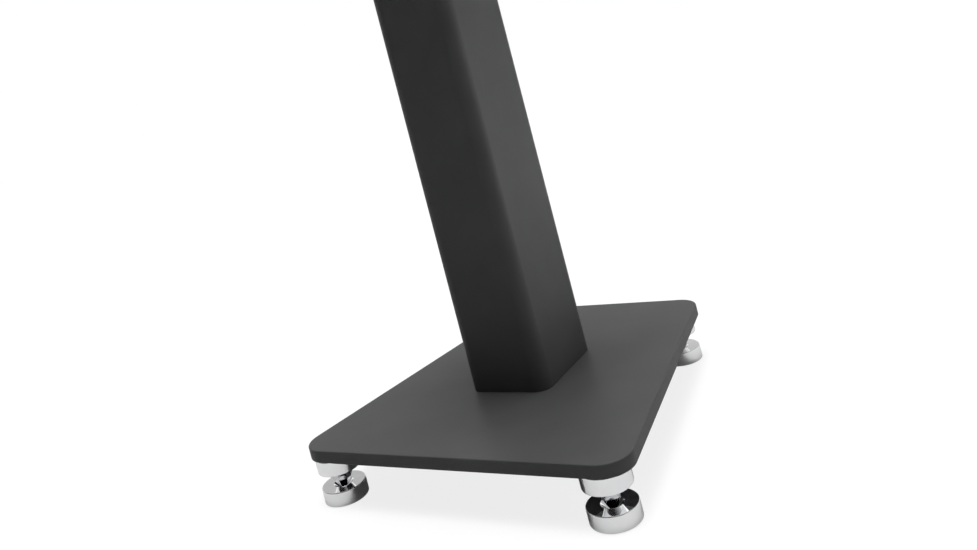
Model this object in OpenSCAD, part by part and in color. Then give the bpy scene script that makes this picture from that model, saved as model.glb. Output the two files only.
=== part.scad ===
// Speaker stand. A heavy base plate on four spiked feet carries a rectangular tube
// column, and the column carries a smaller top plate that the speaker stands on.
// The wide ends of both plates are at the front, -Y. +Z is up, and the origin is on
// the floor under the middle of the base plate.

/* [Base plate] */
// Width of the base plate at its front end
base_front_w = 315; // [260:1:400]
// Width of the base plate at its back end
base_back_w = 220; // [180:1:320]
// Depth of the base plate from front to back
base_depth = 330; // [260:1:420]
// Thickness of the base plate
base_thick = 11; // [10:0.5:20]
// Radius of the base plate's corners
base_corner_r = 23; // [5:1:40]

/* [Column] */
// Width of the column, side to side
column_w = 80; // [70:1:120]
// Depth of the column, front to back
column_d = 100; // [90:1:140]
// Length of the column between the two plates
column_len = 550; // [300:1:900]
// Wall of the column tube
column_wall = 3; // [1.5:0.5:5]
// Outside radius of the column's upright edges
column_corner_r = 13; // [8:1:20]

/* [End plates in the column] */
// Thickness of the plates inside the two ends of the column
end_plate_thick = 10; // [8:0.5:16]
// Gap all round an end plate, where it is welded to the tube
end_plate_gap = 0.2; // [0.1:0.05:0.5]

/* [Top plate] */
// Width of the top plate at its front end
top_front_w = 200; // [160:1:280]
// Width of the top plate at its back end
top_back_w = 150; // [120:1:240]
// Depth of the top plate from front to back
top_depth = 230; // [180:1:320]
// Thickness of the top plate
top_thick = 8; // [6:0.5:16]
// Radius of the top plate's corners
top_corner_r = 16; // [5:1:30]

/* [Speaker pads] */
// Diameter of a speaker pad
speaker_pad_w = 22; // [12:1:30]
// Thickness of a speaker pad
speaker_pad_thick = 2; // [1:0.5:5]
// Distance from each edge of the top plate to the middle of a speaker pad
speaker_pad_inset = 20; // [16:1:32]

/* [Column screws] */
// Thread diameter of the screws that hold the plates to the column
screw_w = 6; // [5:1:8]
// Diameter of the countersunk head
screw_head_w = 12; // [11:0.5:15]
// Length of the screws in the base plate, head included
base_screw_len = 20; // [18:1:20]
// Length of the screws in the top plate, head included
top_screw_len = 16; // [14:1:17]
// Width across the flats of the screws' hexagon sockets
screw_socket_af = 4; // [3:0.5:5]
// Depth of the screws' hexagon sockets
screw_socket_depth = 2.4; // [1.5:0.1:2.8]
// Distance between the screws, side to side
screw_spacing_x = 50; // [40:1:54]
// Distance between the screws, front to back
screw_spacing_y = 66; // [40:1:74]
// Gap round a screw's shank in its plate
screw_hole_gap = 0.3; // [0.1:0.05:0.5]
// Gap round a screw's head in its countersink
screw_head_gap = 0.1; // [0.05:0.05:0.3]

/* [Spiked feet] */
// Distance from the front edge of the base plate to the middle of a front foot
foot_front_inset = 20; // [20:1:60]
// Distance from the back edge of the base plate to the middle of a back foot
foot_back_inset = 28; // [20:1:60]
// Distance from a side edge of the base plate, square to it, to the middle of a foot
foot_side_inset = 25; // [20:1:50]
// Diameter of the disc under the base plate
disc_w = 39; // [30:0.5:48]
// Thickness of the disc under the base plate
disc_thick = 13.2; // [13:0.1:20]
// Height of the open gap between the disc and the shoe below it
spike_gap = 14.2; // [8:0.1:25]
// Diameter of the spike where it leaves the disc
spike_root_w = 27; // [20:0.5:32]
// Diameter of the spike's blunted tip
spike_tip_w = 1; // [0.5:0.1:1.2]
// Bevel round the edges of the discs and shoes
foot_bevel = 0.8; // [0.3:0.1:1.5]

/* [Spike shoes] */
// Diameter of a shoe
shoe_w = 40; // [36:0.5:48]
// Thickness of a shoe
shoe_thick = 12.6; // [11:0.1:18]
// Diameter of the mouth of the dimple that the spike stands in
dimple_w = 18; // [14:0.5:22]
// Diameter of the flat floor of the dimple
dimple_floor_w = 1.6; // [1.4:0.1:3]
// Depth of the dimple
dimple_depth = 8.2; // [6:0.1:9]
// Diameter of the pad under a shoe
shoe_pad_w = 33; // [20:0.5:34]
// Thickness of the pad under a shoe
shoe_pad_thick = 1.5; // [1.2:0.1:3]
// Depth of the recess that the pad is let into
shoe_pad_recess = 1; // [0.5:0.1:1.1]
// Gap round the pad in its recess
shoe_pad_gap = 0.15; // [0.05:0.05:0.3]

/* [Foot studs] */
// Thread diameter of the studs
stud_w = 8; // [6:1:10]
// How far a stud stands out of its disc into the base plate
stud_out = 9; // [6:0.5:9]
// How deep a stud is screwed into its disc
stud_seat = 11; // [6:0.5:12]
// Gap above a stud in its blind hole when the foot is screwed right in
stud_end_gap = 0.5; // [0.3:0.1:0.8]
// Width across the flats of the hexagon socket in the end of a stud
stud_socket_af = 4; // [2.5:0.5:4]
// Depth of the hexagon socket in the end of a stud
stud_socket_depth = 3; // [2:0.5:5]
// Bevel on both ends of a stud
stud_bevel = 0.8; // [0.3:0.1:1]
// Gap round every thread in its tapped hole
thread_gap = 0.05; // [0.02:0.01:0.1]

/* [Hidden] */
corner_names = ["front_left", "front_right", "back_left", "back_right"];
side_signs = [-1, 1, -1, 1];
end_signs = [-1, -1, 1, 1];
foot_pieces = ["spike", "stud", "shoe", "shoe_pad"];
$fn = 96;

// How far a cutting shape runs past the face that it cuts
overrun = 1;

// Heights above the floor, from the bottom up
shoe_z = shoe_pad_thick - shoe_pad_recess;
shoe_top_z = shoe_z + shoe_thick;
disc_z = shoe_top_z + spike_gap;
base_z = disc_z + disc_thick;
base_top_z = base_z + base_thick;
column_top_z = base_top_z + column_len;
top_top_z = column_top_z + top_thick;
tip_z = shoe_top_z - dimple_depth;

// Colours as the stand shows them
coat_colour = "#303032";
chrome_colour = "#d4d6d9";
steel_colour = "#8b8d90";
black_steel_colour = "#26272a";
rubber_colour = "#1b1b1c";

// The place of one corner of a tapered plate, set in from its end and side edges.
// The side inset is measured square to the slanting edge.
function slant(front_w, back_w, depth) = atan((front_w - back_w) / 2 / depth);
function half_width(front_w, back_w, depth, y) =
    (front_w + back_w) / 4 - y * tan(slant(front_w, back_w, depth));
function set_in(front_w, back_w, depth, end_inset, side_inset, i) =
    let (y = end_signs[i] * (depth / 2 - end_inset),
         x = half_width(front_w, back_w, depth, y) - side_inset / cos(slant(front_w, back_w, depth)))
    [side_signs[i] * x, y];

function foot_place(i) =
    set_in(base_front_w, base_back_w, base_depth,
           end_signs[i] < 0 ? foot_front_inset : foot_back_inset, foot_side_inset, i);
function speaker_pad_place(i) =
    set_in(top_front_w, top_back_w, top_depth, speaker_pad_inset, speaker_pad_inset, i);

// Outline of a tapered plate. Each corner is an arc that meets the end edge and the
// slanting edge without a kink.
module tapered_outline(front_w, back_w, depth, corner_r) {
    turn = slant(front_w, back_w, depth);
    order = [0, 1, 3, 2];
    polygon([for (i = order)
        let (middle = set_in(front_w, back_w, depth, corner_r, corner_r, i),
             on_end = middle + corner_r * [0, end_signs[i]],
             on_side = middle + corner_r * [side_signs[i] * cos(turn), sin(turn)])
        each (i == 0 || i == 3 ? [on_side, on_end] : [on_end, on_side])]);
    for (i = order)
        translate(set_in(front_w, back_w, depth, corner_r, corner_r, i)) circle(r = corner_r);
}

// Outline of the column or of what fits inside it
module rounded_outline(w, d, corner_r) {
    square([w - 2 * corner_r, d], center = true);
    square([w, d - 2 * corner_r], center = true);
    for (i = [0 : 3])
        translate([side_signs[i] * (w / 2 - corner_r), end_signs[i] * (d / 2 - corner_r)])
            circle(r = corner_r);
}

module at_screws() {
    for (i = [0 : 3])
        translate([side_signs[i] * screw_spacing_x / 2, end_signs[i] * screw_spacing_y / 2])
            children();
}

// A countersunk socket screw that points up, with the face of its head at zero height
module countersunk_screw(length) {
    head_h = (screw_head_w - screw_w) / 2;
    point_h = screw_w / 8;
    difference() {
        union() {
            cylinder(h = head_h, r1 = screw_head_w / 2, r2 = screw_w / 2);
            cylinder(h = length - point_h, r = screw_w / 2);
            translate([0, 0, length - point_h])
                cylinder(h = point_h, r1 = screw_w / 2, r2 = screw_w / 2 - point_h);
        }
        translate([0, 0, -overrun])
            cylinder(h = screw_socket_depth + overrun, r = screw_socket_af / sqrt(3), $fn = 6);
    }
}

// What a countersunk screw needs cut out of its plate, in the same place as the screw
module countersunk_hole(plate_thick) {
    mouth_r = screw_head_w / 2 + screw_head_gap;
    hole_r = screw_w / 2 + screw_hole_gap;
    cylinder(h = mouth_r - hole_r, r1 = mouth_r, r2 = hole_r);
    translate([0, 0, -overrun]) cylinder(h = overrun, r = mouth_r);
    cylinder(h = plate_thick + overrun, r = hole_r);
}

module base_plate() {
    color(coat_colour)
    difference() {
        translate([0, 0, base_z]) linear_extrude(base_thick)
            tapered_outline(base_front_w, base_back_w, base_depth, base_corner_r);
        translate([0, 0, base_z]) at_screws() countersunk_hole(base_thick);
        for (i = [0 : 3])
            translate([foot_place(i).x, foot_place(i).y, base_z - overrun])
                cylinder(h = stud_out + stud_end_gap + overrun, r = stud_w / 2 + thread_gap);
    }
}

module column() {
    color(coat_colour)
    translate([0, 0, base_top_z]) linear_extrude(column_len)
        difference() {
            rounded_outline(column_w, column_d, column_corner_r);
            rounded_outline(column_w - 2 * column_wall, column_d - 2 * column_wall,
                            column_corner_r - column_wall);
        }
}

// A plate inside the column, with a tapped hole for each screw
module end_plate() {
    inset = column_wall + end_plate_gap;
    color(steel_colour)
    difference() {
        linear_extrude(end_plate_thick)
            rounded_outline(column_w - 2 * inset, column_d - 2 * inset, column_corner_r - inset);
        translate([0, 0, -overrun]) at_screws()
            cylinder(h = end_plate_thick + 2 * overrun, r = screw_w / 2 + thread_gap);
    }
}

module column_foot_plate() {
    translate([0, 0, base_top_z]) end_plate();
}

module column_head_plate() {
    translate([0, 0, column_top_z - end_plate_thick]) end_plate();
}

module top_plate() {
    color(coat_colour)
    difference() {
        translate([0, 0, column_top_z]) linear_extrude(top_thick)
            tapered_outline(top_front_w, top_back_w, top_depth, top_corner_r);
        translate([0, 0, top_top_z]) mirror([0, 0, 1]) at_screws() countersunk_hole(top_thick);
    }
}

module base_screws() {
    color(black_steel_colour)
    translate([0, 0, base_z]) at_screws() countersunk_screw(base_screw_len);
}

module top_screws() {
    color(black_steel_colour)
    translate([0, 0, top_top_z]) mirror([0, 0, 1]) at_screws() countersunk_screw(top_screw_len);
}

module speaker_pad(i) {
    color(rubber_colour)
    translate([speaker_pad_place(i).x, speaker_pad_place(i).y, top_top_z])
        cylinder(h = speaker_pad_thick, r = speaker_pad_w / 2);
}

// The disc under the base plate and the spike below it, turned in one piece, with the
// tapped hole that the stud is screwed into
module foot_spike(i) {
    disc_r = disc_w / 2;
    color(chrome_colour)
    translate(foot_place(i))
    difference() {
        rotate_extrude() polygon([
            [0, tip_z],
            [spike_tip_w / 2, tip_z],
            [spike_root_w / 2, disc_z],
            [disc_r - foot_bevel, disc_z],
            [disc_r, disc_z + foot_bevel],
            [disc_r, base_z - foot_bevel],
            [disc_r - foot_bevel, base_z],
            [0, base_z]
        ]);
        translate([0, 0, base_z - stud_seat])
            cylinder(h = stud_seat + overrun, r = stud_w / 2 + thread_gap);
    }
}

module foot_stud(i) {
    stud_r = stud_w / 2;
    bottom_z = base_z - stud_seat;
    end_z = base_z + stud_out;
    color(steel_colour)
    translate(foot_place(i))
    difference() {
        rotate_extrude() polygon([
            [0, bottom_z],
            [stud_r - stud_bevel, bottom_z],
            [stud_r, bottom_z + stud_bevel],
            [stud_r, end_z - stud_bevel],
            [stud_r - stud_bevel, end_z],
            [0, end_z]
        ]);
        translate([0, 0, end_z - stud_socket_depth])
            cylinder(h = stud_socket_depth + overrun, r = stud_socket_af / sqrt(3), $fn = 6);
    }
}

// The loose disc under the spike: a dimple on top takes the spike's tip, and a shallow
// recess underneath takes the pad
module foot_shoe(i) {
    shoe_r = shoe_w / 2;
    recess_r = shoe_pad_w / 2 + shoe_pad_gap;
    color(chrome_colour)
    translate(foot_place(i))
    rotate_extrude() polygon([
        [0, tip_z],
        [dimple_floor_w / 2, tip_z],
        [dimple_w / 2, shoe_top_z],
        [shoe_r - foot_bevel, shoe_top_z],
        [shoe_r, shoe_top_z - foot_bevel],
        [shoe_r, shoe_z + foot_bevel],
        [shoe_r - foot_bevel, shoe_z],
        [recess_r, shoe_z],
        [recess_r, shoe_pad_thick],
        [0, shoe_pad_thick]
    ]);
}

module foot_shoe_pad(i) {
    color(rubber_colour)
    translate(foot_place(i)) cylinder(h = shoe_pad_thick, r = shoe_pad_w / 2);
}

base_plate();
column();
column_foot_plate();
column_head_plate();
top_plate();
base_screws();
top_screws();
for (i = [0 : 3]) {
    speaker_pad(i);
    foot_spike(i);
    foot_stud(i);
    foot_shoe(i);
    foot_shoe_pad(i);
}
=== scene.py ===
import math

import bmesh
import bpy
from mathutils import Matrix, Vector


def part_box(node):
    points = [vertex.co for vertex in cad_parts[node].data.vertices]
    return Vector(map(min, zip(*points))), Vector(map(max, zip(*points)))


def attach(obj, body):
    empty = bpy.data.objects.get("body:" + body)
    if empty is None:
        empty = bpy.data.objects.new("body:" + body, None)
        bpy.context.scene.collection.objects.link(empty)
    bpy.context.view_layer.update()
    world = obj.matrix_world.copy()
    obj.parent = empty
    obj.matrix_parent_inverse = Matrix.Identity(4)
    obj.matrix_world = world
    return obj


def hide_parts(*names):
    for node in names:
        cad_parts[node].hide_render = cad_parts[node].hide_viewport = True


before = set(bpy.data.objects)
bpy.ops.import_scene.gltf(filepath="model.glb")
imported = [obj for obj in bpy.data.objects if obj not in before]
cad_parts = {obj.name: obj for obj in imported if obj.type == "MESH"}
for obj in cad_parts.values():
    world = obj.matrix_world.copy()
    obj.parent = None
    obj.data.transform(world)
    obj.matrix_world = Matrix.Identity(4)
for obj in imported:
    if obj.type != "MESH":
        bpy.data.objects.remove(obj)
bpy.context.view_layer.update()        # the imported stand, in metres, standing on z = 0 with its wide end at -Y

scene = bpy.context.scene
corners = ["front_left", "front_right", "back_left", "back_right"]
millimetre = 0.001
noiseLow, noiseHigh = 0.3, 0.7      # nearly all of a noise texture lies between these values


# Node trees

def emptyTree(owner):
    owner.use_nodes = True
    owner.node_tree.nodes.clear()
    return owner.node_tree


def addNode(tree, kind, sockets=None, **settings):
    node = tree.nodes.new(kind)
    for name, value in settings.items():
        setattr(node, name, value)
    for name, value in (sockets or {}).items():
        if isinstance(value, bpy.types.NodeSocket):
            tree.links.new(value, node.inputs[name])
        else:
            node.inputs[name].default_value = value
    return node


def addMath(tree, operation, first, second):
    return addNode(tree, "ShaderNodeMath", {0: first, 1: second}, operation=operation).outputs[0]


def addFacing(tree, direction, towards):
    # 1 where direction points towards, -1 where it points away
    return addNode(tree, "ShaderNodeVectorMath", {0: direction, 1: Vector(towards).normalized()},
                   operation="DOT_PRODUCT").outputs["Value"]


def addNoise(tree, place, featureSize, detail, roughness=0.5):
    return addNode(tree, "ShaderNodeTexNoise", {
        "Vector": place, "Scale": 1 / featureSize, "Detail": detail, "Roughness": roughness,
    }).outputs["Fac"]


def addRange(tree, value, low, high, fromLow=noiseLow, fromHigh=noiseHigh):
    return addNode(tree, "ShaderNodeMapRange", {
        "Value": value, "From Min": fromLow, "From Max": fromHigh, "To Min": low, "To Max": high,
    }).outputs["Result"]


def addTone(tree, value, finish, fromLow=noiseLow, fromHigh=noiseHigh):
    # goes from the finish's dark colour to its light one
    ramp = addNode(tree, "ShaderNodeValToRGB", {"Fac": value})
    stops = ((fromLow, finish["dark"]), (fromHigh, finish["light"]))
    for element, (position, shade) in zip(ramp.color_ramp.elements, stops):
        element.position = position
        element.color = (*shade, 1.0)
    return ramp.outputs["Color"]


def addBump(tree, height, distance, strength, below=None):
    sockets = {"Height": height, "Strength": strength, "Distance": distance}
    if below:
        sockets["Normal"] = below
    return addNode(tree, "ShaderNodeBump", sockets).outputs["Normal"]


def startMaterial(name):
    material = bpy.data.materials.new(name)
    tree = emptyTree(material)
    place = addNode(tree, "ShaderNodeTexCoord").outputs["Object"]
    return material, tree, place


def endMaterial(tree, sockets):
    shader = addNode(tree, "ShaderNodeBsdfPrincipled", sockets)
    addNode(tree, "ShaderNodeOutputMaterial", {"Surface": shader.outputs["BSDF"]})


# Finishes

coat = {
    "dark": (0.0570, 0.0570, 0.0580),
    "light": (0.0700, 0.0700, 0.0710),
    "toneRange": (0.7, 1.3),        # of the cloud and the grain together
    "gloss": 0.08,
    "cloudSize": 60 * millimetre,
    "grainSize": 0.55 * millimetre,
    "grainDepth": 0.035 * millimetre,
    "peelSize": 4.5 * millimetre,
    "peelDepth": 0.05 * millimetre,
    "roughness": (0.38, 0.48),
}


def powderCoat():
    material, tree, place = startMaterial("blackPowderCoat")
    grain = addNoise(tree, place, coat["grainSize"], detail=3)
    peel = addNoise(tree, place, coat["peelSize"], detail=1)
    cloud = addNoise(tree, place, coat["cloudSize"], detail=2)
    tone = addRange(tree, addMath(tree, "ADD", cloud, grain), 0, 1, *coat["toneRange"])
    ripple = addBump(tree, peel, coat["peelDepth"], strength=0.6)
    endMaterial(tree, {
        "Base Color": addTone(tree, tone, coat, 0, 1),
        "Roughness": addRange(tree, grain, *coat["roughness"]),
        "IOR": 1.5,
        "Specular IOR Level": coat["gloss"],
        "Normal": addBump(tree, grain, coat["grainDepth"], strength=0.6, below=ripple),
    })
    return material


chrome = {
    "dark": (0.89, 0.893, 0.90),
    "light": (0.93, 0.933, 0.94),
    "hazeSize": 9 * millimetre,
    "roughness": (0.035, 0.075),
    "turningSize": 0.35 * millimetre,
    "turningDepth": 0.0004 * millimetre,
    "turningWobble": 0.4,
}


def polishedChrome():
    material, tree, place = startMaterial("polishedChrome")
    haze = addNoise(tree, place, chrome["hazeSize"], detail=3)
    turning = addNode(tree, "ShaderNodeTexWave", {
        "Vector": place, "Scale": 1 / chrome["turningSize"], "Distortion": chrome["turningWobble"],
        "Detail": 1.0,
    }, wave_type="RINGS", rings_direction="Z").outputs["Fac"]
    endMaterial(tree, {
        "Base Color": addTone(tree, haze, chrome),
        "Metallic": 1.0,
        "Roughness": addRange(tree, haze, *chrome["roughness"]),
        "Normal": addBump(tree, turning, chrome["turningDepth"], strength=0.3),
    })
    return material


brightZinc = {
    "dark": (0.46, 0.47, 0.48),
    "light": (0.60, 0.61, 0.63),
    "roughness": (0.22, 0.38),
    "speckSize": 1.2 * millimetre,
    "speckDepth": 0.01 * millimetre,
}
blackOxide = {
    "dark": (0.045, 0.045, 0.048),
    "light": (0.075, 0.075, 0.08),
    "roughness": (0.38, 0.55),
    "speckSize": 0.8 * millimetre,
    "speckDepth": 0.01 * millimetre,
}
rolledSteel = {
    "dark": (0.30, 0.30, 0.31),
    "light": (0.45, 0.45, 0.46),
    "roughness": (0.35, 0.55),
    "speckSize": 2.5 * millimetre,
    "speckDepth": 0.02 * millimetre,
}


def speckledSteel(name, steel):
    material, tree, place = startMaterial(name)
    speck = addNoise(tree, place, steel["speckSize"], detail=4, roughness=0.6)
    endMaterial(tree, {
        "Base Color": addTone(tree, speck, steel),
        "Metallic": 1.0,
        "Roughness": addRange(tree, speck, *steel["roughness"]),
        "Normal": addBump(tree, speck, steel["speckDepth"], strength=0.5),
    })
    return material


speakerPadRubber = {
    "dark": (0.016, 0.016, 0.017),
    "light": (0.026, 0.026, 0.027),
    "roughness": (0.62, 0.78),
    "grainSize": 0.5 * millimetre,
    "grainDepth": 0.03 * millimetre,
}
shoePadRubber = {
    "dark": (0.020, 0.020, 0.020),
    "light": (0.032, 0.032, 0.032),
    "roughness": (0.70, 0.88),
    "grainSize": 0.4 * millimetre,
    "grainDepth": 0.04 * millimetre,
}


def blackRubber(name, rubber):
    material, tree, place = startMaterial(name)
    grain = addNoise(tree, place, rubber["grainSize"], detail=3, roughness=0.6)
    endMaterial(tree, {
        "Base Color": addTone(tree, grain, rubber),
        "Roughness": addRange(tree, grain, *rubber["roughness"]),
        "IOR": 1.45,
        "Normal": addBump(tree, grain, rubber["grainDepth"], strength=0.7),
    })
    return material


# one finish for each material slot of the record
finishes = {
    "coat": powderCoat(),
    "chrome": polishedChrome(),
    "zinc": speckledSteel("brightZinc", brightZinc),
    "black_screw": speckledSteel("blackOxide", blackOxide),
    "bare_steel": speckledSteel("rolledSteel", rolledSteel),
    "speaker_pad": blackRubber("speakerPadRubber", speakerPadRubber),
    "shoe_pad": blackRubber("shoePadRubber", shoePadRubber),
}
print("finishes made")


# Mesh building

sides = {"disc": 128, "pad": 96, "screwHole": 64, "studHole": 48, "thread": 48}    # round each circle
lead = 3                # roundings from a corner to a point that only gives its edge a direction
sharpAngle = 38         # degrees: an edge that turns by more than this stays crisp


def softened(points, steps=5):
    # points are (x, y, rounding); each corner with a rounding becomes an arc
    outline = []
    for i, (x, y, rounding) in enumerate(points):
        here = Vector((x, y))
        if not rounding:
            outline.append(here)
            continue
        towards = [(Vector(points[i + step][:2]) - here).normalized() for step in (-1, 1)]
        half = towards[0].angle(towards[1]) / 2
        middle = here + (towards[0] + towards[1]).normalized() * rounding / math.sin(half)
        spokes = [(here + side * rounding / math.tan(half) - middle).normalized() for side in towards]
        for step in range(steps + 1):
            outline.append(middle + spokes[0].slerp(spokes[1], step / steps) * rounding)
    return outline


def circle(radius, z, centre, segments):
    turns = [2 * math.pi * i / segments for i in range(segments)]
    return [(centre[0] + radius * math.cos(t), centre[1] + radius * math.sin(t), z) for t in turns]


def taperedOutline(shape, inset, z, steps=14):
    # a plate's outline seen from above, moved in by inset, anticlockwise from the front right corner
    halfDepth, rounding = shape["depth"] / 2, shape["cornerRadius"]
    taper = math.atan((shape["frontWidth"] - shape["backWidth"]) / 2 / shape["depth"])
    halfWidth = (shape["frontWidth"] + shape["backWidth"]) / 4      # halfway back
    reach = rounding - inset
    points = []
    for side, end, start, stop in ((1, -1, -math.pi / 2, taper), (1, 1, taper, math.pi / 2),
                                   (-1, 1, math.pi / 2, math.pi - taper),
                                   (-1, -1, math.pi - taper, 1.5 * math.pi)):
        y = end * (halfDepth - rounding)
        x = side * (halfWidth - y * math.tan(taper) - rounding / math.cos(taper))
        for step in range(steps + 1):
            turn = start + (stop - start) * step / steps
            points.append((x + reach * math.cos(turn), y + reach * math.sin(turn), z))
    return points


def addRing(mesh, points):
    return [mesh.verts.new(point) for point in points]


def bridge(mesh, lower, upper):
    count = max(len(lower), len(upper))
    for i in range(count):
        j = (i + 1) % count
        around = [lower[i % len(lower)], lower[j % len(lower)], upper[j % len(upper)], upper[i % len(upper)]]
        mesh.faces.new(list(dict.fromkeys(around)))


def bridgeAll(mesh, rings, closed=False):
    for lower, upper in zip(rings, rings[1:]):
        bridge(mesh, lower, upper)
    if closed:
        bridge(mesh, rings[-1], rings[0])


def fillFlat(mesh, loops):
    # one flat face with holes: the first loop is its edge, and the others are its holes
    edges = []
    for loop in loops:
        for a, b in zip(loop, loop[1:] + loop[:1]):
            edges.append(mesh.edges.get((a, b)) or mesh.edges.new((a, b)))
    bmesh.ops.triangle_fill(mesh, use_beauty=True, use_dissolve=False, edges=edges)


def turned(mesh, profile, centre, segments):
    # profile is (radius, z) points; a radius of nothing is a point on the axis
    rings = [addRing(mesh, circle(radius, z, centre, segments if radius > 0 else 1))
             for radius, z in profile]
    bridgeAll(mesh, rings)
    return rings


threadForm = {
    "ringsPerTurn": 8,
    "fadeRings": 6,     # over which the thread runs out at each end
    "peak": 1.5,        # where the flanks would meet, in heights of the thread, so the crest is flat
    "flank": 4.05,      # how fast the height falls away from the crest, over one pitch
}


def threadedRings(mesh, thread, centre, startZ, endZ):
    # rings of a right-handed thread between two heights, which fades out at both ends
    span = endZ - startZ
    perTurn = threadForm["ringsPerTurn"]
    count = max(perTurn, round(abs(span) / thread["pitch"] * perTurn))
    rings = []
    for k in range(count + 1):
        z = startZ + span * k / count
        fade = min(1, min(k, count - k) / threadForm["fadeRings"])
        points = []
        for i in range(sides["thread"]):
            share = i / sides["thread"]
            fromCrest = abs((z / thread["pitch"] - share) % 1 - 0.5)
            height = min(1, max(0, threadForm["peak"] - threadForm["flank"] * fromCrest)) * fade
            radius = thread["root"] + (thread["crest"] - thread["root"]) * height
            points.append((centre[0] + radius * math.cos(2 * math.pi * share),
                           centre[1] + radius * math.sin(2 * math.pi * share), z))
        rings.append(addRing(mesh, points))
    return rings


def addObject(name, data):
    holder = bpy.data.objects.new(name, data)
    scene.collection.objects.link(holder)
    return holder


def makePiece(name, mesh, slot, body, replaced, place=(0, 0, 0)):
    bmesh.ops.recalc_face_normals(mesh, faces=mesh.faces)
    data = bpy.data.meshes.new(name)
    mesh.to_mesh(data)
    mesh.free()
    data.materials.append(finishes[slot])
    data.polygons.foreach_set("use_smooth", [True] * len(data.polygons))
    data.set_sharp_from_angle(angle=math.radians(sharpAngle))
    piece = addObject(name, data)
    piece.location = place
    evenNormals = piece.modifiers.new("evenNormals", "WEIGHTED_NORMAL")
    evenNormals.keep_sharp = True
    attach(piece, body)
    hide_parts(replaced)


def makeTurnedPiece(name, profile, segments, slot, body, replaced, centre):
    mesh = bmesh.new()
    turned(mesh, profile, (0, 0), segments)
    makePiece(name, mesh, slot, body, replaced, place=(*centre, 0))


def boxCentre(node):
    low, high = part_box(node)
    return (low.x + high.x) / 2, (low.y + high.y) / 2


def footPlace(corner):
    return boxCentre(corner + "_stud")


# Base plate and top plate

basePlate = {
    "frontWidth": 315 * millimetre,
    "backWidth": 220 * millimetre,
    "cornerRadius": 23 * millimetre,
    "edgeRounding": 0.9 * millimetre,
    "studHole": 4.05 * millimetre,
    "studHoleDepth": 9.5 * millimetre,
}
topPlate = {
    "frontWidth": 200 * millimetre,
    "backWidth": 150 * millimetre,
    "cornerRadius": 16 * millimetre,
    "edgeRounding": 0.9 * millimetre,
}
screwHoles = {
    "spacing": (50 * millimetre, 66 * millimetre),
    "mouth": 6.1 * millimetre,
    "bore": 3.3 * millimetre,
    "lip": 0.25 * millimetre,
}


def screwPlaces():
    return [(side * screwHoles["spacing"][0] / 2, end * screwHoles["spacing"][1] / 2)
            for end in (-1, 1) for side in (-1, 1)]


def plateMesh(shape, headZ, farZ, blindHoles=()):
    # the screws' heads are let into the face at headZ
    mesh = bmesh.new()
    rounding = shape["edgeRounding"]
    inner = lead * rounding
    edge = softened([(inner, headZ, 0), (0, headZ, rounding), (0, farZ, rounding), (inner, farZ, 0)])
    rings = [addRing(mesh, taperedOutline(shape, inset, z)) for inset, z in edge[1:-1]]
    bridgeAll(mesh, rings)
    up = 1 if farZ > headZ else -1
    mouth, bore, lip = (screwHoles[k] for k in ("mouth", "bore", "lip"))
    cone = softened([(mouth + lead * lip, headZ, 0), (mouth, headZ, lip),
                     (bore, headZ + up * (mouth - bore), 0), (bore, farZ, 0)], steps=3)
    headLoops, farLoops = [rings[0]], [rings[-1]]
    for centre in screwPlaces():
        hole = turned(mesh, cone[1:], centre, sides["screwHole"])
        headLoops.append(hole[0])
        farLoops.append(hole[-1])
    for centre, radius, depth in blindHoles:
        endZ = headZ + up * depth
        hole = turned(mesh, [(radius, headZ), (radius, endZ), (0, endZ)], centre, sides["studHole"])
        headLoops.append(hole[0])
    fillFlat(mesh, headLoops)
    fillFlat(mesh, farLoops)
    return mesh


def makePlates():
    low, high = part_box("base_plate")
    studHoles = [(footPlace(corner), basePlate["studHole"], basePlate["studHoleDepth"])
                 for corner in corners]
    mesh = plateMesh({**basePlate, "depth": high.y - low.y}, low.z, high.z, studHoles)
    makePiece("basePlate", mesh, "coat", "stand", "base_plate")
    low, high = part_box("top_plate")
    mesh = plateMesh({**topPlate, "depth": high.y - low.y}, high.z, low.z)
    makePiece("topPlate", mesh, "coat", "stand", "top_plate")
    print("plates made")


# Column

columnTube = {
    "wall": 3 * millimetre,
    "cornerRadius": 13 * millimetre,
    "endRounding": 0.4 * millimetre,
}


def makeColumn():
    low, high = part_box("column")
    shape = {"frontWidth": high.x - low.x, "backWidth": high.x - low.x, "depth": high.y - low.y,
             "cornerRadius": columnTube["cornerRadius"]}
    wall, rounding = columnTube["wall"], columnTube["endRounding"]
    section = softened([(wall, low.z, 0), (0, low.z, rounding), (0, high.z, rounding), (wall, high.z, 0)],
                       steps=4)
    mesh = bmesh.new()
    bridgeAll(mesh, [addRing(mesh, taperedOutline(shape, inset, z, steps=20)) for inset, z in section],
              closed=True)
    makePiece("columnTube", mesh, "coat", "stand", "column")
    for plate in ("column_foot_plate", "column_head_plate"):
        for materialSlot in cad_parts[plate].material_slots:
            materialSlot.material = finishes["bare_steel"]
    print("column made")


# Countersunk socket screws

countersunkScrew = {
    "headRadius": 6 * millimetre,
    "headRim": 0.25 * millimetre,
    "shankRadius": 3 * millimetre,
    "socketFlats": 4 * millimetre,
    "socketDepth": 2.4 * millimetre,
    "plainLength": 1.5 * millimetre,
    "pointLength": 0.75 * millimetre,
    "pointTaper": 1.6,      # how much narrower the point gets along its length
    "thread": {"pitch": 1 * millimetre, "crest": 3 * millimetre, "root": 2.45 * millimetre},
}
socketPoint = 0.3           # depth of the cone at the end of a socket, as a share of the socket's radius


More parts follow.
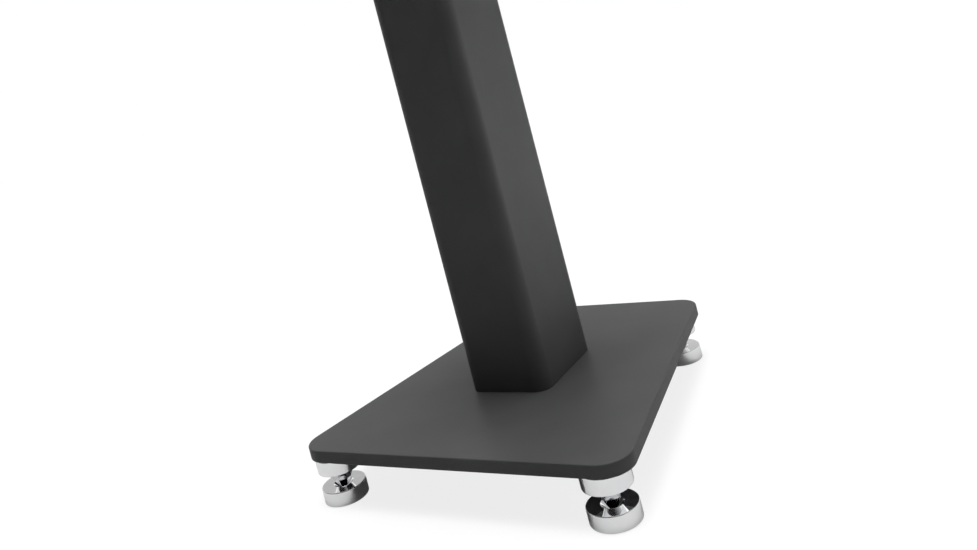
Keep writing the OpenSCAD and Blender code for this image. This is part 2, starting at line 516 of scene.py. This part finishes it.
def hexSocket(mesh, centre, faceZ, up, fastener):
    radius = fastener["socketFlats"] / math.sqrt(3)
    endZ = faceZ + up * fastener["socketDepth"]
    rings = [addRing(mesh, circle(radius, faceZ, centre, 6)),
             addRing(mesh, circle(radius, endZ, centre, 6)),
             addRing(mesh, circle(0, endZ + up * radius * socketPoint, centre, 1))]
    bridgeAll(mesh, rings)
    return rings[0]


def screwMesh(headZ, endZ):
    mesh = bmesh.new()
    up = 1 if endZ > headZ else -1
    head, shank, rim = (countersunkScrew[k] for k in ("headRadius", "shankRadius", "headRim"))
    coneEnd = headZ + up * (head - shank)
    upper = softened([(head - lead * rim, headZ, 0), (head, headZ, rim), (shank, coneEnd, 0)], steps=3)
    threadStart = coneEnd + up * countersunkScrew["plainLength"]
    pointStart = endZ - up * countersunkScrew["pointLength"]
    pointRadius = shank - countersunkScrew["pointTaper"] * countersunkScrew["pointLength"]
    for centre in screwPlaces():
        rings = turned(mesh, upper[1:], centre, sides["thread"])
        fillFlat(mesh, [rings[0], hexSocket(mesh, centre, headZ, up, countersunkScrew)])
        thread = threadedRings(mesh, countersunkScrew["thread"], centre, threadStart, pointStart)
        tail = [addRing(mesh, circle(pointRadius, endZ, centre, sides["thread"])),
                addRing(mesh, circle(0, endZ, centre, 1))]
        bridgeAll(mesh, [rings[-1], *thread, *tail])
    return mesh


def makeScrews():
    low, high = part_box("base_screws")
    makePiece("baseScrews", screwMesh(low.z, high.z), "black_screw", "stand", "base_screws")
    low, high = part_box("top_screws")
    makePiece("topScrews", screwMesh(high.z, low.z), "black_screw", "stand", "top_screws")
    print("screws made")


# Spiked feet: a disc and spike turned in one piece, with a threaded stud in its top

footSpike = {
    "rim": 0.75 * millimetre,
    "rootRadius": 13.5 * millimetre,
    "rootRounding": 0.6 * millimetre,
    "tipRadius": 0.5 * millimetre,
    "discAboveShoe": 14.2 * millimetre,
    "studHole": 4.05 * millimetre,
}
footStud = {
    "bevel": 0.8 * millimetre,
    "bevelTaper": 1.2,          # how much narrower the end gets along its bevel
    "socketFlats": 4 * millimetre,
    "socketDepth": 2.6 * millimetre,
    "thread": {"pitch": 1.25 * millimetre, "crest": 4 * millimetre, "root": 3.3 * millimetre},
}
spikeShoe = {
    "rim": 0.75 * millimetre,
    "dimpleFloor": 0.8 * millimetre,
    "tipClearance": 0.05 * millimetre,
    "dimpleMouth": 9 * millimetre,
    "dimpleRim": 0.3 * millimetre,
    "recessRadius": 16.65 * millimetre,
}


def makeSpike(corner):
    low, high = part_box(corner + "_spike")
    radius = (high.x - low.x) / 2
    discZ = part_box(corner + "_shoe")[1].z + footSpike["discAboveShoe"]
    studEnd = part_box(corner + "_stud")[0].z
    profile = softened([
        (0, low.z, 0), (footSpike["tipRadius"], low.z, 0),
        (footSpike["rootRadius"], discZ, footSpike["rootRounding"]),
        (radius, discZ, footSpike["rim"]), (radius, high.z, footSpike["rim"]),
        (footSpike["studHole"], high.z, 0), (footSpike["studHole"], studEnd, 0), (0, studEnd, 0),
    ], steps=6)
    makeTurnedPiece(corner + "Spike", profile, sides["disc"], "chrome", corner + "_foot",
                    corner + "_spike", footPlace(corner))


def makeStud(corner):
    low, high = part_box(corner + "_stud")
    bevel = footStud["bevel"]
    endRadius = (high.x - low.x) / 2 - footStud["bevelTaper"] * bevel
    mesh = bmesh.new()
    rings = [addRing(mesh, circle(0, low.z, (0, 0), 1)),
             addRing(mesh, circle(endRadius, low.z, (0, 0), sides["thread"])),
             *threadedRings(mesh, footStud["thread"], (0, 0), low.z + bevel, high.z - bevel),
             addRing(mesh, circle(endRadius, high.z, (0, 0), sides["thread"]))]
    bridgeAll(mesh, rings)
    fillFlat(mesh, [rings[-1], hexSocket(mesh, (0, 0), high.z, -1, footStud)])
    makePiece(corner + "Stud", mesh, "zinc", corner + "_foot", corner + "_stud",
              place=(*footPlace(corner), 0))


def makeShoe(corner):
    low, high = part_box(corner + "_shoe")
    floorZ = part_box(corner + "_spike")[0].z - spikeShoe["tipClearance"]
    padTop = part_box(corner + "_shoe_pad")[1].z
    radius, rim = (high.x - low.x) / 2, spikeShoe["rim"]
    profile = softened([
        (0, floorZ, 0), (spikeShoe["dimpleFloor"], floorZ, 0),
        (spikeShoe["dimpleMouth"], high.z, spikeShoe["dimpleRim"]),
        (radius, high.z, rim), (radius, low.z, rim),
        (spikeShoe["recessRadius"], low.z, 0), (spikeShoe["recessRadius"], padTop, 0), (0, padTop, 0),
    ], steps=6)
    makeTurnedPiece(corner + "Shoe", profile, sides["disc"], "chrome", corner + "_shoe",
                    corner + "_shoe", footPlace(corner))


pads = {
    "shoePadEdge": 0.35 * millimetre,
    "speakerPadFoot": 0.15 * millimetre,
    "speakerPadEdge": 0.9 * millimetre,
}


def makePad(name, node, slot, body, lowerRounding, upperRounding):
    low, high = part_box(node)
    radius = (high.x - low.x) / 2
    profile = softened([(0, low.z, 0), (radius, low.z, lowerRounding), (radius, high.z, upperRounding),
                        (0, high.z, 0)])
    makeTurnedPiece(name, profile, sides["pad"], slot, body, node, boxCentre(node))


def makeFeet():
    for corner in corners:
        makeSpike(corner)
        makeStud(corner)
        makeShoe(corner)
        makePad(corner + "ShoePad", corner + "_shoe_pad", "shoe_pad", corner + "_shoe",
                pads["shoePadEdge"], pads["shoePadEdge"])
        makePad(corner + "SpeakerPad", corner + "_speaker_pad", "speaker_pad", "stand",
                pads["speakerPadFoot"], pads["speakerPadEdge"])
    print("feet and pads made")


makePlates()
makeColumn()
makeScrews()
makeFeet()


# Camera

viewpoint = {
    "place": (0.45047, -0.71073, 0.3581),
    "azimuth": 34.702,
    "tilt": -1.292,
    "roll": -14.641,
    "lens": 33.364,
    "sensorWidth": 36.0,
    "shift": (0.07079, -0.19895),
    "clip": (0.01, 60),
}


def makeCamera():
    camera = bpy.data.cameras.new("camera")
    camera.lens = viewpoint["lens"]
    camera.sensor_width = viewpoint["sensorWidth"]
    camera.shift_x, camera.shift_y = viewpoint["shift"]
    camera.clip_start, camera.clip_end = viewpoint["clip"]
    turn = (Matrix.Rotation(math.radians(viewpoint["azimuth"]), 4, "Z")
            @ Matrix.Rotation(math.radians(90 + viewpoint["tilt"]), 4, "X")
            @ Matrix.Rotation(math.radians(viewpoint["roll"]), 4, "Z"))
    holder = addObject("camera", camera)
    holder.matrix_world = Matrix.Translation(viewpoint["place"]) @ turn
    scene.camera = holder


# Floor and light

studio = {
    "floorSize": 40.0,
    "floorShade": (0.50, 0.50, 0.50, 1.0),
    "floorGlow": 1.18,
    "glowSeen": 0.70,
    "glowMirrored": 0.02,
    "softLights": [
        {"towards": (0, 0, 1), "narrowness": 40.0, "strength": 25.9},
        {"towards": (0.569, 0.822, 0.69), "narrowness": 2.0, "strength": 0.89},
    ],
    "backwards": (0, 1, 0.3),
    "mirroredFront": {"depth": -0.6, "level": 0.045},
    "mirroredBack": {"depth": 0.2, "level": 1.0},
    "mirroredLow": {"height": 0.26, "level": 1.0},
    "mirroredHigh": {"height": 0.37, "level": 0.49},
    "white": (1, 1, 1, 1),
    "floorWash": {"place": (1.50, 1.25, 1.0), "size": (1.5, 1.8), "spread": 50, "power": 90.0},
}


def makeFloor():
    mesh = bmesh.new()
    bmesh.ops.create_grid(mesh, x_segments=1, y_segments=1, size=studio["floorSize"] / 2)
    data = bpy.data.meshes.new("floor")
    mesh.to_mesh(data)
    mesh.free()
    material = bpy.data.materials.new("paleFloor")
    tree = emptyTree(material)
    # the camera sees the floor white with a soft shadow, and metal mirrors it nearly as it is lit
    paths = addNode(tree, "ShaderNodeLightPath").outputs
    seen = addMath(tree, "MULTIPLY", paths["Is Camera Ray"], studio["glowSeen"])
    bounced = addMath(tree, "MAXIMUM", paths["Is Glossy Ray"], paths["Is Transmission Ray"])
    mirrored = addMath(tree, "MULTIPLY", bounced, studio["glowMirrored"])
    share = addMath(tree, "MAXIMUM", seen, mirrored)
    plain = addNode(tree, "ShaderNodeBsdfDiffuse", {"Color": studio["floorShade"]}).outputs[0]
    glow = addNode(tree, "ShaderNodeEmission", {"Strength": studio["floorGlow"]}).outputs[0]
    both = addNode(tree, "ShaderNodeMixShader", {0: share, 1: plain, 2: glow}).outputs[0]
    addNode(tree, "ShaderNodeOutputMaterial", {"Surface": both})
    data.materials.append(material)
    addObject("floor", data)


def makeWorld():
    world = bpy.data.worlds.new("studio")
    tree = emptyTree(world)
    scene.world = world
    direction = addNode(tree, "ShaderNodeTexCoord").outputs["Generated"]
    # soft lights, overhead and behind on the right; the camera doesn't see them
    light = 0.0
    for softLight in studio["softLights"]:
        facing = addMath(tree, "MAXIMUM", addFacing(tree, direction, softLight["towards"]), 0.0)
        part = addMath(tree, "POWER", facing, softLight["narrowness"])
        light = addMath(tree, "ADD", light, addMath(tree, "MULTIPLY", part, softLight["strength"]))
    # metal mirrors a white backdrop, which is less bright higher up
    low, high = studio["mirroredLow"], studio["mirroredHigh"]
    upright = addRange(tree, addFacing(tree, direction, (0, 0, 1)), low["level"], high["level"],
                       low["height"], high["height"])
    # it is dim in front, where the studio is open
    front, back = studio["mirroredFront"], studio["mirroredBack"]
    deep = addRange(tree, addFacing(tree, direction, studio["backwards"]), front["level"], back["level"],
                    front["depth"], back["depth"])
    mirrored = addMath(tree, "MULTIPLY", upright, deep)
    # the camera and clear materials see it plain white
    paths = addNode(tree, "ShaderNodeLightPath").outputs
    clear = addMath(tree, "MAXIMUM", paths["Is Camera Ray"], paths["Is Transmission Ray"])
    backdrop = addMath(tree, "MAXIMUM", clear, mirrored)
    plainView = addMath(tree, "MAXIMUM", clear, paths["Is Glossy Ray"])
    soft, white = (addNode(tree, "ShaderNodeBackground", {"Color": studio["white"], "Strength": strength})
                   for strength in (light, backdrop))
    shown = addNode(tree, "ShaderNodeMixShader", {0: plainView, 1: soft.outputs[0], 2: white.outputs[0]})
    addNode(tree, "ShaderNodeOutputWorld", {"Surface": shown.outputs[0]})


def makeFloorWash():
    # a lamp behind on the right that lights only the floor there, whose bounce lights that side
    wash = studio["floorWash"]
    lamp = bpy.data.lights.new("floorWash", "AREA")
    lamp.shape = "RECTANGLE"
    lamp.size, lamp.size_y = wash["size"]
    lamp.spread = math.radians(wash["spread"])
    lamp.energy = wash["power"]
    holder = addObject("floorWash", lamp)
    holder.location = wash["place"]
    holder.visible_camera = False
    holder.visible_glossy = False


makeCamera()
makeFloor()
makeWorld()
makeFloorWash()
scene.view_settings.view_transform = "Standard"
print("camera, floor and light made")
